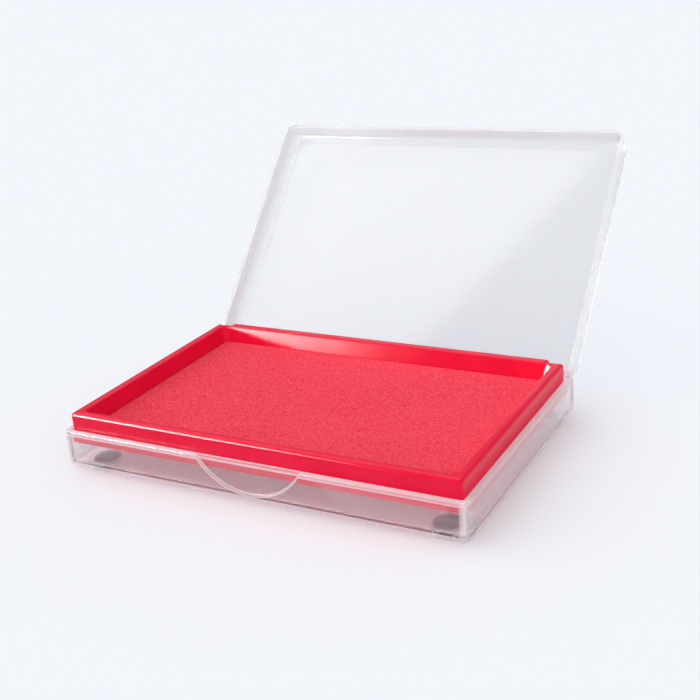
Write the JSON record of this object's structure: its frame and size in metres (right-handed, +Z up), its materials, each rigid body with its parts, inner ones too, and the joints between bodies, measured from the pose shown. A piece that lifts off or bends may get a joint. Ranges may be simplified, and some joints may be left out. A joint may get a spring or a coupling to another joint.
{
  "type": "ink pad",
  "caption": "Rectangular office ink pad: sunken pad in a moulded tray, held in a clear plastic case with a hinged clear lid and rubber feet.",
  "frame": {"origin": "centre of the base shell's flat underside, 0.8 mm above the plane that the rubber feet stand on", "axes": "+X to the right along the pad's long side, +Y from the front edge towards the hinge, +Z up, out of the pad"},
  "size_m": [0.138, 0.1551, 0.0813],
  "materials": {
    "base_clear": "clear polished polystyrene",
    "lid_clear": "clear polished polystyrene",
    "tray_plastic": "red glossy moulded plastic",
    "core_felt": "dense felt soaked in red ink",
    "pad_foam": "fine-pored foam, inked red",
    "foot_rubber": "dark grey matt rubber"
  },
  "bodies": {
    "base": {"base_shell": "base_clear", "ink_tray": "tray_plastic", "ink_core": "core_felt", "pad_face": "pad_foam", "foot_front_left": "foot_rubber", "foot_front_right": "foot_rubber", "foot_rear_left": "foot_rubber", "foot_rear_right": "foot_rubber"},
    "lid": {"lid_shell": "lid_clear"}
  },
  "joints": [
    {"name": "lid_hinge", "type": "hinge", "parent": "base", "child": "lid", "pos_m": [0, 0.0445, 0.0142], "axis": [1, 0, 0], "range_deg": [0, 133]}
  ]
}
